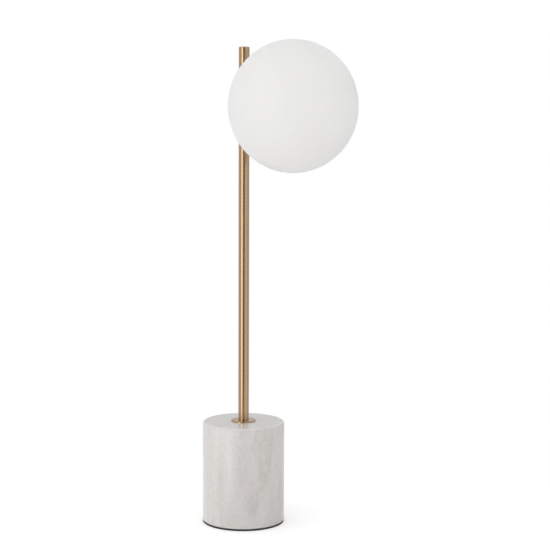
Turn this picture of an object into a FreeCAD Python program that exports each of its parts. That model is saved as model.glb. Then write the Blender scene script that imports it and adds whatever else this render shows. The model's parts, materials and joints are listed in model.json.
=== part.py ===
# Globe table lamp: a marble drum carries a brass stem, and a short side arm near the top of the stem
# holds an opal glass globe over a small screw-cap lamp.
# Millimetres. +Z is up and the origin is the centre of the foot, on the table. The arm points along -Y,
# which is the front. "Reach" is a distance from the stem's axis, measured forwards along the arm.

import FreeCAD
import Part
import math
import os

Vec = FreeCAD.Vector

# ---------------------------------------------------------------- driving dimensions
# Base
base_diameter = 100.0
marble_height = 123.0
marble_top_round = 1.8
marble_foot_chamfer = 0.8
pad_thickness = 2.0
pad_inset = 0.3
chamber_diameter = 62.0          # wiring chamber, bored up from the foot
chamber_headroom = 13.0          # from the terminal block to the bush over it
marble_hole_clearance = 0.6      # round the threaded tube

# Threaded tube (M10 x 1) that clamps the marble to the stem, and its fasteners
tube_diameter = 10.0
tube_grip_in_stem = 20.0
tube_end_below_nut = 3.0
thread_clearance = 0.05
flange_diameter = 30.0
flange_thickness = 1.5
flange_edge_round = 0.6
clamp_washer_diameter = 40.0
clamp_washer_thickness = 2.0
lock_washer_diameter = 17.0
lock_washer_thickness = 1.0
nut_across_flats = 14.0
nut_thickness = 4.0
bush_wall = 0.6
bush_length = 7.0
bush_lip = 1.0                   # wider than the tube by this much
bush_lip_thickness = 1.2

# Stem
insert_wall = 0.5
insert_length = 24.0
stem_wall = 1.0
stem_length = 452.0
cap_rim_thickness = 0.5
cap_crown = 1.0
cap_edge_round = 0.4
cap_plug_length = 8.0
cap_plug_wall = 1.2

# Side arm
arm_below_stem_end = 69.4
boss_length = 7.5
boss_inset = 0.5                 # the boss is this much thinner than the stem, each side
nipple_start = 1.0               # from the stem's front
nipple_past_holder = 1.5

# Gallery cup and its thumb screws
cup_wall = 1.2
cup_depth = 13.0
cup_corner_round = 3.0
cup_clearance = 1.5              # round the globe's neck
arm_nut_thickness = 3.0
gasket_thickness = 1.5
gasket_overhang = 0.6            # inside the globe's neck
screw_diameter = 4.0
screw_boss_diameter = 8.0
screw_boss_height = 2.0
screw_head_gap = 1.0             # left between the head and its boss when the globe is held
screw_head_diameter = 8.0
screw_head_height = 3.5
screw_from_rim = 5.5
tip_diameter = 3.0
tip_length = 1.2
tip_gap = 0.1
knurl_count = 20
knurl_depth = 0.35
driver_slot_width = 0.8
driver_slot_depth = 1.0

# Globe
globe_diameter = 153.0           # across the arm
globe_flattening = 3.5           # its radius along the arm is this much shorter
globe_wall = 3.0
globe_to_cup = 2.9
relamp_clearance = 2.5           # between the bulb and the neck it passes through
neck_wall = 2.5
neck_end_round = 0.8

# Lamp holder
holder_wall = 2.0
holder_floor = 3.0
holder_wiring_space = 7.0        # from its floor to the terminals
holder_clearance = 1.4           # round the socket's foot
insert_spigot_length = 2.0
insert_flange_thickness = 3.0
sleeve_length = 26.8
sleeve_lip_thickness = 2.0
sleeve_lip_clearance = 0.5
socket_length = 20.0
socket_wall = 0.4
socket_foot_width = 1.8
socket_foot_thickness = 0.5
socket_clearance = 0.2           # round the bulb's thread
terminal_size = 4.0
terminal_spread = 5.0            # each terminal from the holder's middle
tongue_thickness = 0.4
tongue_width = 4.0
tongue_half_length = 4.6
tongue_rise = 3.0

# Bulb
bulb_diameter = 45.0
bulb_glass_wall = 0.8
thread_diameter = 13.9
thread_depth = 0.75
thread_pitch = 2.82
thread_turns = 5
contact_diameter = 5.0
contact_height = 1.2
contact_gap = 0.1
insulator_height = 3.3
bulb_thread_runout = 3.5
collar_diameter = 26.0
collar_length = 15.0
collar_waist_share = 0.4         # of the collar's length, where its curve passes its mean width

# Wiring
wire_diameter = 2.0
wire_gap = 0.8                   # between the two wires in the stem
wire_setback = 1.0               # behind the stem's axis
wire_clearance = 0.6             # round the pair of wires, in the bush
arm_bend_radius = 6.0
loop_bend_radius = 5.0
loop_reach = 14.0                # the wires loop this far forwards of the terminal block
loop_rise = 10.0
loop_below_bush = 3.0
splay_bend_radius = 4.0
splay_inside_nipple = 1.0        # the wires start to part this far before its end
splay_straight = 2.3             # from the last bend's corner to the terminal
earth_bend_radius = 8.0
block_pitch = 8.0
block_depth = 16.0
block_height = 13.0
block_valley_width = 2.0
block_valley_depth = 3.0
block_hole_height = 6.5
block_hole_diameter = 3.4
block_wire_grip = 4.0
block_front = 1.0                # the block's front face, behind the stem's axis
block_tube_inset = 2.0           # the brass tubes lie this far inside the block's faces
block_screw_diameter = 3.4
block_screw_inset = 4.0
block_screw_length = 5.0
block_well_diameter = 4.4
lug_thickness = 0.8
lug_width = 6.0
lug_tab_reach = 16.0
lug_barrel_length = 5.0
lug_barrel_wall = 0.5

# Cord gland in the back of the base
gland_height = 14.0
gland_diameter = 10.4
gland_bore = 7.2
gland_hole_clearance = 0.1
gland_flange_diameter = 15.0
gland_flange_thickness = 2.0
gland_mouth_round = 1.2
gland_past_wall = 2.0
gland_seat_depth = 1.0

# ---------------------------------------------------------------- what follows from them
# Heights
marble_foot = pad_thickness
marble_top = marble_foot + marble_height
stem_foot = marble_top + flange_thickness
stem_end = stem_foot + stem_length
arm_z = stem_end - arm_below_stem_end
tube_head = stem_foot + tube_grip_in_stem
bush_foot = marble_foot + block_height + chamber_headroom
tube_foot = bush_foot + bush_lip_thickness
base_nut_foot = tube_foot + tube_end_below_nut
lock_washer_foot = base_nut_foot + nut_thickness
lug_foot = lock_washer_foot + lock_washer_thickness
clamp_washer_foot = lug_foot + lug_thickness
chamber_ceiling = clamp_washer_foot + clamp_washer_thickness
wire_way_height = marble_foot + block_hole_height

# Radii about the stem's axis
base_radius = base_diameter / 2
tube_radius = tube_diameter / 2
wire_radius = wire_diameter / 2
wire_offset = wire_radius + wire_gap / 2
wire_pair_radius = math.hypot(wire_offset, wire_setback) + wire_radius
bush_bore_radius = wire_pair_radius + wire_clearance
bush_radius = bush_bore_radius + bush_wall
tube_bore_radius = bush_radius + thread_clearance
thread_hole_radius = tube_radius + thread_clearance
stem_bore_radius = thread_hole_radius + insert_wall + thread_clearance
stem_radius = stem_bore_radius + stem_wall
boss_radius = stem_radius - boss_inset
lug_barrel_radius = wire_radius + thread_clearance + lug_barrel_wall

# Radii about the arm's axis
bulb_radius = bulb_diameter / 2
neck_bore_radius = bulb_radius + relamp_clearance
neck_radius = neck_bore_radius + neck_wall
cup_bore_radius = neck_radius + cup_clearance
cup_radius = cup_bore_radius + cup_wall
cup_inner_round = cup_corner_round - cup_wall
globe_radius = globe_diameter / 2
globe_half_depth = globe_radius - globe_flattening
globe_bore_radius = globe_radius - globe_wall
globe_bore_half_depth = globe_half_depth - globe_wall
thread_radius = thread_diameter / 2
thread_root_radius = thread_radius - thread_depth
socket_bore_radius = thread_radius + socket_clearance
socket_radius = socket_bore_radius + thread_depth + socket_wall
socket_foot_radius = socket_radius + socket_foot_width
holder_bore_radius = socket_foot_radius + holder_clearance
holder_radius = holder_bore_radius + holder_wall

# Reaches along the arm
cup_back = stem_radius + boss_length
cup_floor = cup_back + cup_wall
cup_rim = cup_back + cup_depth
arm_nut_back = cup_floor + lock_washer_thickness
holder_back = arm_nut_back + arm_nut_thickness
nipple_back = stem_radius + nipple_start
nipple_front = holder_back + holder_floor + nipple_past_holder
terminal_back = holder_back + holder_floor + holder_wiring_space
insert_back = terminal_back + terminal_size
insert_seat = insert_back + insert_spigot_length
sleeve_back = insert_seat + insert_flange_thickness
insert_front = sleeve_back + insert_spigot_length
neck_end = cup_floor + gasket_thickness
screw_reach = cup_rim - screw_from_rim
globe_reach = cup_rim + globe_to_cup + globe_half_depth * math.sqrt(1 - (cup_radius / globe_radius) ** 2)
bulb_back = insert_front + tongue_rise + contact_gap
insulator_back = bulb_back + contact_height
shell_back = insulator_back + insulator_height
shell_front = shell_back + thread_turns * thread_pitch + bulb_thread_runout
collar_front = shell_front + collar_length
bulb_reach = collar_front + math.sqrt(bulb_radius ** 2 - (collar_diameter / 2) ** 2)

# Places that repeat
thumb_screw_angles = {"left": 150.0, "right": 30.0, "bottom": 270.0}
block_ways = (-block_pitch, 0.0, block_pitch)
block_back = block_front + block_depth
block_screw_rows = (block_front + block_screw_inset, block_back - block_screw_inset)


# ---------------------------------------------------------------- tools
def outline_edges(points):
    """Closed outline in the XZ plane. Each point is (radius, height), or four numbers for an arc: the
    middle and the end."""
    edges = []
    here = points[0]
    for point in points[1:] + points[:1]:
        start, end = Vec(here[-2], 0, here[-1]), Vec(point[-2], 0, point[-1])
        if len(point) == 4:
            edges.append(Part.Arc(start, Vec(point[0], 0, point[1]), end).toShape())
        elif start.distanceToPoint(end) > 1e-6:
            edges.append(Part.LineSegment(start, end).toShape())
        here = point
    return edges


def turned_edges(edges):
    section = Part.Face(Part.Wire(Part.__sortEdges__(edges)))
    return section.revolve(Vec(0, 0, 0), Vec(0, 0, 1), 360)


def turned(points):
    """The outline turned about Z."""
    return turned_edges(outline_edges(points))


def ring(outer_radius, inner_radius, low, high):
    return turned([(inner_radius, low), (outer_radius, low), (outer_radius, high), (inner_radius, high)])


def rod(radius, low, high):
    return Part.makeCylinder(radius, high - low, Vec(0, 0, low))


def rounded(centre_radius, centre_height, radius, start, end):
    """Arc of an outline about a centre, between two directions in degrees. It starts at the last point."""
    middle, stop = math.radians((start + end) / 2), math.radians(end)
    return (
        centre_radius + radius * math.cos(middle),
        centre_height + radius * math.sin(middle),
        centre_radius + radius * math.cos(stop),
        centre_height + radius * math.sin(stop),
    )


def hexagonal(across_flats, bore_radius, low, high):
    corner_radius = across_flats / math.sqrt(3)
    angles = [math.radians(60 * k) for k in range(7)]
    corners = [Vec(corner_radius * math.cos(angle), corner_radius * math.sin(angle), low) for angle in angles]
    prism = Part.Face(Part.makePolygon(corners)).extrude(Vec(0, 0, high - low))
    return prism.cut(rod(bore_radius, low - 1, high + 1))


def block(x_size, y_size, z_size, x_centre, y_low, z_low):
    return Part.makeBox(x_size, y_size, z_size, Vec(x_centre - x_size / 2, y_low, z_low))


def moved(shape, offset, rotation=None):
    """A copy of the shape, turned about the origin and then shifted."""
    copy = shape.copy()
    placement = FreeCAD.Placement(offset, rotation or FreeCAD.Rotation())
    copy.Placement = placement.multiply(copy.Placement)
    return copy


def along_arm(shape):
    """Moves a shape built along +Z to lie along the arm: +Z becomes the reach, and +Y becomes up."""
    return moved(shape, Vec(0, 0, arm_z), FreeCAD.Rotation(Vec(1, 0, 0), 90))


def rearwards(shape, height):
    """Moves a shape built along +Z to lie along +Y, at a height above the table."""
    return moved(shape, Vec(0, 0, height), FreeCAD.Rotation(Vec(1, 0, 0), -90))


def at_thumb_screw(shape, angle):
    """Moves a shape built along +Z, with z the distance from the arm's axis, to a thumb screw's place."""
    outward = Vec(math.cos(math.radians(angle)), math.sin(math.radians(angle)), 0)
    return along_arm(moved(shape, Vec(0, 0, screw_reach), FreeCAD.Rotation(Vec(0, 0, 1), outward)))


def circle_edges(shape, radius, height):
    """Whole circles about Z of that radius, at that height."""
    return [
        edge
        for edge in shape.Edges
        if not edge.Degenerated
        and isinstance(edge.Curve, Part.Circle)
        and abs(edge.Curve.Radius - radius) < 1e-4
        and abs(edge.Curve.Center.z - height) < 1e-4
    ]


def bent_path(points, radii):
    """A path of straight runs joined by tangent arcs, one radius for each inner point."""
    edges = []
    here = points[0]
    for before, at, after, radius in zip(points, points[1:], points[2:], radii):
        into = (at - before).normalize()
        out = (after - at).normalize()
        half_turn = into.getAngle(out) / 2
        tangent = radius * math.tan(half_turn)
        start, end = at - into * tangent, at + out * tangent
        inwards = (out - into).normalize()
        middle = at + inwards * (radius / math.cos(half_turn) - radius)
        edges.append(Part.LineSegment(here, start).toShape())
        edges.append(Part.Arc(start, middle, end).toShape())
        here = end
    edges.append(Part.LineSegment(here, points[-1]).toShape())
    return Part.Wire(edges)


def wire_solid(name, points, radii):
    """A round wire along a bent path. Prints how its volume compares with its section times its length."""
    path = bent_path(points, radii)
    section = Part.Wire([Part.Circle(points[0], points[1] - points[0], wire_radius).toShape()])
    solid = path.makePipeShell([section], True, False)
    expected = math.pi * wire_radius ** 2 * path.Length
    print(f"{name}: length {path.Length:.1f} mm, bend radii {radii},", end=" ")
    print(f"volume {solid.Volume / expected:.4f} of section x length")
    return solid


# ---------------------------------------------------------------- base
def marble_base():
    drum = rod(base_radius, marble_foot, marble_top)
    top_rim = circle_edges(drum, base_radius, marble_top)
    drum = drum.makeFillet(marble_top_round, top_rim)
    foot_rim = circle_edges(drum, base_radius, marble_foot)
    drum = drum.makeChamfer(marble_foot_chamfer, foot_rim)
    drum = drum.cut(rod(chamber_diameter / 2, marble_foot - 1, chamber_ceiling))
    drum = drum.cut(rod(tube_radius + marble_hole_clearance, chamber_ceiling - 1, marble_top + 1))
    gland_hole = rod(gland_diameter / 2 + gland_hole_clearance, 0, base_radius + 1)
    gland_seat = rod(
        gland_flange_diameter / 2 + gland_hole_clearance, base_radius - gland_seat_depth, base_radius + 1
    )
    return drum.cut(rearwards(gland_hole, gland_height)).cut(rearwards(gland_seat, gland_height))


def base_pad():
    return rod(base_radius - pad_inset, 0, marble_foot)


def cord_gland():
    """Bush pressed into the back of the base, its bore rounded at both mouths."""
    chamber_wall = math.sqrt((chamber_diameter / 2) ** 2 - (gland_diameter / 2) ** 2)
    inner_end = chamber_wall - gland_past_wall
    flange_back = base_radius - gland_seat_depth
    flange_front = flange_back + gland_flange_thickness
    mouth = gland_bore / 2 + gland_mouth_round
    bevel = gland_flange_thickness / 2
    gland = turned([
        (gland_diameter / 2, inner_end),
        (gland_diameter / 2, flange_back),
        (gland_flange_diameter / 2, flange_back),
        (gland_flange_diameter / 2, flange_front - bevel),
        (gland_flange_diameter / 2 - bevel, flange_front),
        (mouth, flange_front),
        rounded(mouth, flange_front - gland_mouth_round, gland_mouth_round, 90, 180),
        (gland_bore / 2, inner_end + gland_mouth_round),
        rounded(mouth, inner_end + gland_mouth_round, gland_mouth_round, 180, 270),
    ])
    return rearwards(gland, gland_height)


def threaded_tube():
    return ring(tube_radius, tube_bore_radius, tube_foot, tube_head)


def tube_bush():
    """Plastic bush that keeps the wires off the lower edge of the threaded tube."""
    bush_head = bush_foot + bush_length
    return turned([
        (bush_bore_radius, bush_foot),
        (tube_radius + bush_lip, bush_foot),
        (tube_radius + bush_lip, tube_foot),
        (bush_radius, tube_foot),
        (bush_radius, bush_head),
        (bush_bore_radius, bush_head),
    ])


def clamp_washer():
    return ring(clamp_washer_diameter / 2, thread_hole_radius, clamp_washer_foot, chamber_ceiling)


def split_washer(low):
    """Spring washer with its slot."""
    whole = ring(lock_washer_diameter / 2, thread_hole_radius, low, low + lock_washer_thickness)
    slot = block(lock_washer_diameter, lock_washer_thickness, 2 * lock_washer_thickness,
                 lock_washer_diameter / 2, -lock_washer_thickness / 2, low - lock_washer_thickness / 2)
    return whole.cut(slot)


def base_nut():
    return hexagonal(nut_across_flats, thread_hole_radius, base_nut_foot, lock_washer_foot)


def stem_flange():
    """Thin disc between the marble and the stem."""
    radius = flange_diameter / 2
    return turned([
        (thread_hole_radius, marble_top),
        (radius, marble_top),
        (radius, stem_foot - flange_edge_round),
        rounded(radius - flange_edge_round, stem_foot - flange_edge_round, flange_edge_round, 0, 90),
        (thread_hole_radius, stem_foot),
    ])


# ---------------------------------------------------------------- wiring in the base
def terminal_block():
    """Three-way block, with a valley between its ways and a well over each screw."""
    body = block(3 * block_pitch, block_depth, block_height, 0, block_front, marble_foot)
    for x in (-block_pitch / 2, block_pitch / 2):
        body = body.cut(block(block_valley_width, block_depth + 2, block_height, x, block_front - 1,
                              marble_foot + block_height - block_valley_depth))
    for x in block_ways:
        way = rearwards(rod(block_hole_diameter / 2, block_front - 1, block_back + 1), wire_way_height)
        body = body.cut(moved(way, Vec(x, 0, 0)))
        for y in block_screw_rows:
            well = rod(block_well_diameter / 2, wire_way_height, 2 * block_height)
            body = body.cut(moved(well, Vec(x, y, 0)))
    return body


def terminal_tubes():
    """The block's three brass tubes, which the wires go into."""
    tubes = []
    for x in block_ways:
        tube = rod(block_hole_diameter / 2, block_front + block_tube_inset, block_back - block_tube_inset)
        tube = rearwards(tube.cut(rod(wire_radius + thread_clearance, 0, 2 * block_back)), wire_way_height)
        for y in block_screw_rows:
            screw_hole = rod(block_screw_diameter / 2 + thread_clearance, wire_way_height, 2 * block_height)
            tube = tube.cut(moved(screw_hole, Vec(0, y, 0)))
        tubes.append(moved(tube, Vec(x, 0, 0)))
    return Part.makeCompound(tubes)


def terminal_screws():
    """The block's six slotted screws, each down on the wire's level."""
    low = wire_way_height + wire_radius
    high = low + block_screw_length
    slot = block(2 * block_screw_diameter, driver_slot_width, 2 * driver_slot_depth, 0,
                 -driver_slot_width / 2, high - driver_slot_depth)
    screw = rod(block_screw_diameter / 2, low, high).cut(slot)
    return Part.makeCompound([moved(screw, Vec(x, y, 0)) for x in block_ways for y in block_screw_rows])


def earth_lug():
    """Ring under the clamp washer, with a tab forwards and a crimped barrel that points down."""
    plate = rod(lock_washer_diameter / 2, lug_foot, clamp_washer_foot)
    tab = block(lug_width, lug_tab_reach, lug_thickness, 0, -lug_tab_reach, lug_foot)
    barrel = rod(lug_barrel_radius, lug_foot - lug_barrel_length, clamp_washer_foot)
    bore = rod(wire_radius + thread_clearance, lug_foot - 2 * lug_barrel_length, lug_foot)
    barrel_place = Vec(0, lug_barrel_radius - lug_tab_reach, 0)
    hole = rod(thread_hole_radius, lug_foot - 1, clamp_washer_foot + 1)
    lug = plate.fuse(tab).fuse(moved(barrel, barrel_place))
    return lug.cut(moved(bore, barrel_place)).cut(hole).removeSplitter()


def earth_wire():
    down_y = lug_barrel_radius - lug_tab_reach
    points = [
        Vec(0, down_y, lug_foot),
        Vec(0, down_y, wire_way_height),
        Vec(0, block_front + block_wire_grip, wire_way_height),
    ]
    return wire_solid("earth_wire", points, [earth_bend_radius])


def supply_wire(name, side):
    """From the terminal block, up the stem and out along the arm to the lamp holder's terminal."""
    loop_y = block_front - loop_reach
    points = [
        Vec(side * block_pitch, block_front + block_wire_grip, wire_way_height),
        Vec(side * block_pitch, loop_y, wire_way_height),
        Vec(side * block_pitch, loop_y, wire_way_height + loop_rise),
        Vec(side * wire_offset, wire_setback, bush_foot - loop_below_bush),
        Vec(side * wire_offset, wire_setback, arm_z),
        Vec(side * wire_offset, -(nipple_front - splay_inside_nipple), arm_z),
        Vec(side * terminal_spread, -(terminal_back - splay_straight), arm_z),
        Vec(side * terminal_spread, -terminal_back, arm_z),
    ]
    radii = 3 * [loop_bend_radius] + [arm_bend_radius] + 2 * [splay_bend_radius]
    return wire_solid(name, points, radii)


# ---------------------------------------------------------------- stem
def stem_tube():
    tube = ring(stem_radius, stem_bore_radius, stem_foot, stem_end)
    return tube.cut(along_arm(rod(tube_bore_radius, 0, 2 * stem_radius)))


def stem_insert():
    """Threaded bush brazed into the stem's lower end."""
    return ring(stem_bore_radius - thread_clearance, thread_hole_radius, stem_foot, stem_foot + insert_length)


def stem_cap():
    plug_radius = stem_bore_radius - thread_clearance
    shoulder = stem_end + cap_rim_thickness
    crown_radius = (stem_radius ** 2 + cap_crown ** 2) / (2 * cap_crown)
    half_x = stem_radius / 2
    half_z = shoulder + cap_crown - crown_radius + math.sqrt(crown_radius ** 2 - half_x ** 2)
    cap = turned([
        (plug_radius, stem_end - cap_plug_length),
        (plug_radius, stem_end),
        (stem_radius, stem_end),
        (stem_radius, shoulder),
        (half_x, half_z, 0, shoulder + cap_crown),
        (0, stem_end - cap_plug_wall),
        (plug_radius - cap_plug_wall, stem_end - cap_plug_wall),
        (plug_radius - cap_plug_wall, stem_end - cap_plug_length),
    ])
    return cap.makeFillet(cap_edge_round, circle_edges(cap, stem_radius, shoulder))


# ---------------------------------------------------------------- arm and gallery
def arm_boss():
    """Short tube brazed to the stem, its end cut to the stem's round."""
    boss = ring(boss_radius, thread_hole_radius, 0, cup_back)
    return along_arm(boss).cut(rod(stem_radius, arm_z - 2 * boss_radius, arm_z + 2 * boss_radius))


def arm_nipple():
    return along_arm(ring(tube_radius, tube_bore_radius, nipple_back, nipple_front))


def gallery_cup():
    """Shallow cup round the globe's neck, with a boss for each thumb screw."""
    cup = turned([
        (thread_hole_radius, cup_back),
        (cup_radius - cup_corner_round, cup_back),
        rounded(cup_radius - cup_corner_round, cup_back + cup_corner_round, cup_corner_round, -90, 0),
        (cup_radius, cup_rim),
        (cup_bore_radius, cup_rim),
        (cup_bore_radius, cup_floor + cup_inner_round),
        rounded(cup_bore_radius - cup_inner_round, cup_floor + cup_inner_round, cup_inner_round, 0, -90),
        (thread_hole_radius, cup_floor),
    ])
    boss = rod(screw_boss_diameter / 2, cup_radius - cup_wall / 2, cup_radius + screw_boss_height)
    hole = rod(screw_diameter / 2 + thread_clearance, neck_radius, cup_radius + 2 * screw_boss_height)
    angles = thumb_screw_angles.values()
    cup = along_arm(cup).fuse([at_thumb_screw(boss, angle) for angle in angles])
    return cup.cut([at_thumb_screw(hole, angle) for angle in angles])


def arm_lock_washer():
    return along_arm(split_washer(cup_floor))


def arm_nut():
    return along_arm(hexagonal(nut_across_flats, thread_hole_radius, arm_nut_back, holder_back))


def globe_gasket():
    outer = cup_bore_radius - cup_inner_round
    return along_arm(ring(outer, neck_bore_radius - gasket_overhang, cup_floor, neck_end))


def screw_tip(angle):
    """Soft plug in the end of a thumb screw, which bears on the globe's neck."""
    low = neck_radius + tip_gap
    return at_thumb_screw(rod(tip_diameter / 2, low, low + tip_length), angle)


def thumb_screw(angle):
    low = neck_radius + tip_gap + tip_length + thread_clearance
    head = cup_radius + screw_boss_height + screw_head_gap
    top = head + screw_head_height
    radius = screw_head_diameter / 2
    screw = turned([
        (0, low),
        (screw_diameter / 2, low),
        (screw_diameter / 2, head),
        (radius - knurl_depth, head),
        (radius, head + knurl_depth),
        (radius, top - knurl_depth),
        (radius - knurl_depth, top),
        (0, top),
    ])
    groove = moved(rod(2 * knurl_depth, head - 1, top + 1), Vec(radius + knurl_depth, 0, 0))
    for k in range(knurl_count):
        turn = FreeCAD.Rotation(Vec(0, 0, 1), 360 * k / knurl_count)
        screw = screw.cut(moved(groove, Vec(0, 0, 0), turn))
    slot = block(2 * screw_head_diameter, driver_slot_width, 2 * driver_slot_depth, 0,
                 -driver_slot_width / 2, top - driver_slot_depth)
    return at_thumb_screw(screw.cut(slot), angle)


# ---------------------------------------------------------------- globe
def oval_arc(radius, half_depth, from_radius):
    """The globe's section: an ellipse from the circle of from_radius at the back to the pole in front."""
    centre = Vec(0, 0, globe_reach)
    ellipse = Part.Ellipse(centre - Vec(radius, 0, 0), centre + Vec(0, 0, half_depth), centre)
    back = math.pi + math.acos(from_radius / radius)
    return Part.ArcOfEllipse(ellipse, math.pi / 2, back).toBSpline().toShape()


def oval_back(radius, half_depth, at_radius):
    """Reach of the globe's back, where its section has that radius."""
    return globe_reach - half_depth * math.sqrt(1 - (at_radius / radius) ** 2)


def glass_globe():
    """Blown globe with a round hole in its back, which its neck fills."""
    outside = Vec(neck_radius, 0, oval_back(globe_radius, globe_half_depth, neck_radius))
    inside = Vec(neck_radius, 0, oval_back(globe_bore_radius, globe_bore_half_depth, neck_radius))
    front = Vec(0, 0, globe_reach + globe_half_depth)
    return along_arm(turned_edges([
        oval_arc(globe_radius, globe_half_depth, neck_radius),
        Part.LineSegment(front, front - Vec(0, 0, globe_wall)).toShape(),
        oval_arc(globe_bore_radius, globe_bore_half_depth, neck_radius),
        Part.LineSegment(inside, outside).toShape(),
    ]))


def globe_neck():
    """Glass ring fused into the globe's hole. It stands on the gasket, and the thumb screws hold it."""
    inner_end = oval_back(globe_bore_radius, globe_bore_half_depth, neck_radius)
    neck = ring(neck_radius, neck_bore_radius, neck_end, inner_end)
    rims = circle_edges(neck, neck_radius, neck_end) + circle_edges(neck, neck_bore_radius, neck_end)
    rims += circle_edges(neck, neck_bore_radius, inner_end)
    return along_arm(neck.makeFillet(min(neck_end_round, neck_wall / 3), rims))


# ---------------------------------------------------------------- lamp holder
def holder_cap():
    cavity = holder_back + holder_floor
    return along_arm(turned([
        (thread_hole_radius, holder_back),
        (holder_radius - holder_wall, holder_back),
        (holder_radius, holder_back + holder_wall),
        (holder_radius, insert_seat),
        (holder_bore_radius, insert_seat),
        (holder_bore_radius, cavity),
        (thread_hole_radius, cavity),
    ]))


def holder_insert():
    """Ceramic disc between the holder's cap and sleeve. It carries the terminals and the socket."""
    spigot = holder_bore_radius - thread_clearance
    return along_arm(turned([
        (0, insert_back),
        (spigot, insert_back),
        (spigot, insert_seat),
        (holder_radius, insert_seat),
        (holder_radius, sleeve_back),
        (spigot, sleeve_back),
        (spigot, insert_front),
        (0, insert_front),
    ]))


def holder_sleeve():
    rim = sleeve_back + sleeve_length
    lip = socket_radius + sleeve_lip_clearance
    return along_arm(turned([
        (holder_bore_radius, sleeve_back),
        (holder_radius, sleeve_back),
        (holder_radius, rim - sleeve_lip_thickness / 2),
        (holder_radius - sleeve_lip_thickness / 2, rim),
        (lip, rim),
        (lip, rim - sleeve_lip_thickness),
        (holder_bore_radius, rim - sleeve_lip_thickness),
    ]))


def holder_terminals():
    """Two brass blocks on the back of the insert, where the supply wires end."""
    blocks = [
        block(terminal_size, terminal_size, terminal_size, x, -terminal_size / 2, terminal_back)
        for x in (-terminal_spread, terminal_spread)
    ]
    return along_arm(Part.makeCompound(blocks))


def knuckles(radius, low):
    """Outline of a rounded thread, as arcs one pitch long that rise from a radius. It starts at low."""
    return [
        (radius + thread_depth, low + (k + 0.5) * thread_pitch, radius, low + (k + 1) * thread_pitch)
        for k in range(thread_turns)
    ]


def socket_shell():
    """Screw shell of the holder. Its thread is formed outwards, so the bulb's screw goes in clear of it."""
    low = insert_front + socket_foot_thickness + thread_pitch / 2
    mouth = insert_front + socket_length
    outer = socket_bore_radius + socket_wall
    body = turned(
        [
            (0, insert_front),
            (socket_foot_radius, insert_front),
            (socket_foot_radius, insert_front + socket_foot_thickness),
            (outer, insert_front + socket_foot_thickness),
            (outer, low),
        ]
        + knuckles(outer, low)
        + [(outer, mouth), (0, mouth)]
    )
    bore = turned(
        [(0, insert_front - 1), (socket_bore_radius, insert_front - 1), (socket_bore_radius, low)]
        + knuckles(socket_bore_radius, low)
        + [(socket_bore_radius, mouth + 1), (0, mouth + 1)]
    )
    return along_arm(body.cut(bore))


def centre_tongue():
    """Bent strip that presses on the bulb's contact."""
    flat = contact_diameter / 4
    rise = tongue_rise - tongue_thickness
    half_outline = [
        (flat, rise),
        (tongue_half_length - tongue_thickness, 0),
        (tongue_half_length, 0),
        (tongue_half_length, tongue_thickness),
        (flat, tongue_rise),
    ]
    outline = half_outline + [(-x, z) for x, z in reversed(half_outline)]
    corners = [Vec(x, -tongue_width / 2, insert_front + z) for x, z in outline]
    strip = Part.Face(Part.makePolygon(corners + corners[:1])).extrude(Vec(0, tongue_width, 0))
    return along_arm(strip)


# ---------------------------------------------------------------- bulb
def bulb_contact():
    """Solder button at the bulb's back."""
    edge = contact_height / 2
    return along_arm(turned([
        (0, bulb_back),
        (contact_diameter / 2 - edge, bulb_back),
        rounded(contact_diameter / 2 - edge, bulb_back + edge, edge, -90, 0),
        (contact_diameter / 2, insulator_back - thread_clearance),
        (0, insulator_back - thread_clearance),
    ]))


def bulb_insulator():
    """Glass cone between the contact and the screw shell."""
    return along_arm(turned([
        (0, insulator_back),
        (contact_diameter / 2 + thread_depth, insulator_back),
        (thread_root_radius - thread_depth, shell_back),
        (0, shell_back),
    ]))


def bulb_screw_shell():
    low = [(0, shell_back), (thread_root_radius, shell_back)]
    high = [(thread_root_radius, shell_front), (0, shell_front)]
    return along_arm(turned(low + knuckles(thread_root_radius, shell_back) + high))


def bulb_collar():
    """Plastic body of the bulb, flaring from the screw shell to the glass."""
    opening = collar_diameter / 2
    waist = (thread_radius + opening) / 2 + thread_depth
    return along_arm(turned([
        (0, shell_front),
        (thread_radius, shell_front),
        (waist, shell_front + collar_waist_share * collar_length, opening, collar_front),
        (0, collar_front),
    ]))


def bulb_glass():
    """Thin ball that stands on the collar's front face."""
    ball = Part.makeSphere(bulb_radius, Vec(0, 0, bulb_reach))
    hollow = Part.makeSphere(bulb_radius - bulb_glass_wall, Vec(0, 0, bulb_reach))
    in_front = rod(2 * bulb_radius, collar_front, bulb_reach + 2 * bulb_radius)
    return along_arm(ball.common(in_front).cut(hollow))


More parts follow.
